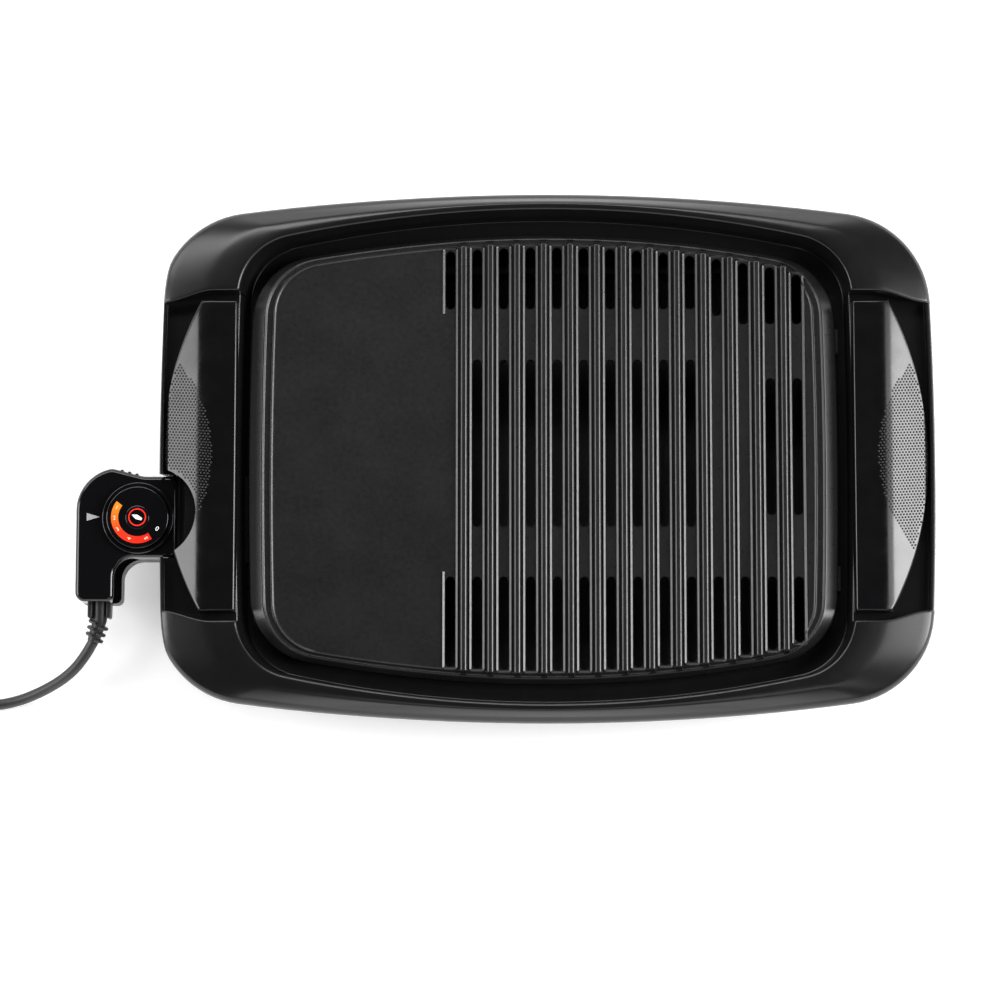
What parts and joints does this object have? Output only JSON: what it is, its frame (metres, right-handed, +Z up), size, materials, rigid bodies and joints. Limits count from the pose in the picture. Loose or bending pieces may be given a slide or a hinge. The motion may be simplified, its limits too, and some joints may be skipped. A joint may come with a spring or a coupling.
{
  "type": "electric griddle",
  "caption": "Table-top electric griddle: bowed plastic base with end handles, lift-off half-flat, half-ribbed slotted plate, drip tray and plug-in dial thermostat on a mains cord.",
  "frame": {"origin": "on the table under the middle of the griddle with its control plugged in, cord left out", "axes": "+X along the griddle away from the control, +Y from front to back, +Z up"},
  "size_m": [0.7224, 0.342, 0.076],
  "materials": {
    "body_plastic": "fine satin moulded plastic",
    "gloss_plastic": "polished black moulded plastic",
    "plate_coating": "dark non-stick coating on cast aluminium, fine satin",
    "sheet_steel": "plain folded sheet steel",
    "element_sheath": "heat-darkened tubular sheath",
    "tray_metal": "dark coated pressed aluminium",
    "ceramic": "matt steatite",
    "brass": "plain spring brass",
    "nickel": "nickel plate",
    "silicone": "matt black heat-proof silicone",
    "rubber": "matt rubber",
    "cord_rubber": "smooth cord sheath, slight sheen",
    "phenolic": "brown phenolic moulding",
    "wire_cover": "silicone-covered wire",
    "scale_ink": "orange to red printed band under gloss lacquer",
    "cap_red": "translucent red cap",
    "mark_grey": "printed grey mark",
    "screw_steel": "zinc-plated steel"
  },
  "bodies": {
    "base": {"base_shell": "body_plastic", "bottom_cover": "body_plastic", "left_handle": "gloss_plastic", "right_handle": "gloss_plastic", "heat_shield": "sheet_steel", "tray_guides": "body_plastic", "heating_element": "element_sheath", "element_seals": "ceramic", "element_brackets": "sheet_steel", "element_clips": "sheet_steel", "bracket_screws": "screw_steel", "terminal_block": "ceramic", "contact_pins": "nickel", "earth_pin": "brass", "inlet_shroud": "sheet_steel", "plate_rests": "silicone", "rubber_feet": "rubber", "cover_screws": "screw_steel", "handle_screws": "screw_steel"},
    "plate": {"cooking_plate": "plate_coating"},
    "tray": {"drip_tray": "tray_metal", "tray_front": "body_plastic", "tray_rivets": "screw_steel"},
    "control": {"control_top": "gloss_plastic", "control_bottom": "gloss_plastic", "dial_bezel": "gloss_plastic", "arrow_mark": "mark_grey", "control_collar": "gloss_plastic", "socket_block": "ceramic", "socket_sleeves": "brass", "earth_blade": "brass", "probe_rod": "nickel", "thermostat_switch": "phenolic", "spindle_bush": "brass", "lead_wires": "wire_cover", "control_screws": "screw_steel", "strain_relief": "cord_rubber", "cord_run": "cord_rubber", "cord_coil": "cord_rubber", "cord_end": "cord_rubber", "cord_tie": "rubber", "mains_plug": "cord_rubber", "plug_pins": "nickel", "plug_earth_clips": "brass"},
    "dial": {"dial_knob": "gloss_plastic", "dial_spindle": "nickel", "dial_scale": "scale_ink", "dial_cap": "cap_red"}
  },
  "joints": [
    {"name": "plate_lift", "type": "slide", "parent": "base", "child": "plate", "axis": [0, 0, 1], "range_m": [0, 0.08]},
    {"name": "tray_pull", "type": "slide", "parent": "base", "child": "tray", "axis": [0, -1, 0], "range_m": [0, 0.3]},
    {"name": "control_pull", "type": "slide", "parent": "base", "child": "control", "axis": [-1, 0, 0], "range_m": [0, 0.1]},
    {"name": "dial_turn", "type": "hinge", "parent": "control", "child": "dial", "pos_m": [-0.2355, -0.039, 0.057], "axis": [0, 0, 1], "range_deg": [-115, 210]}
  ]
}
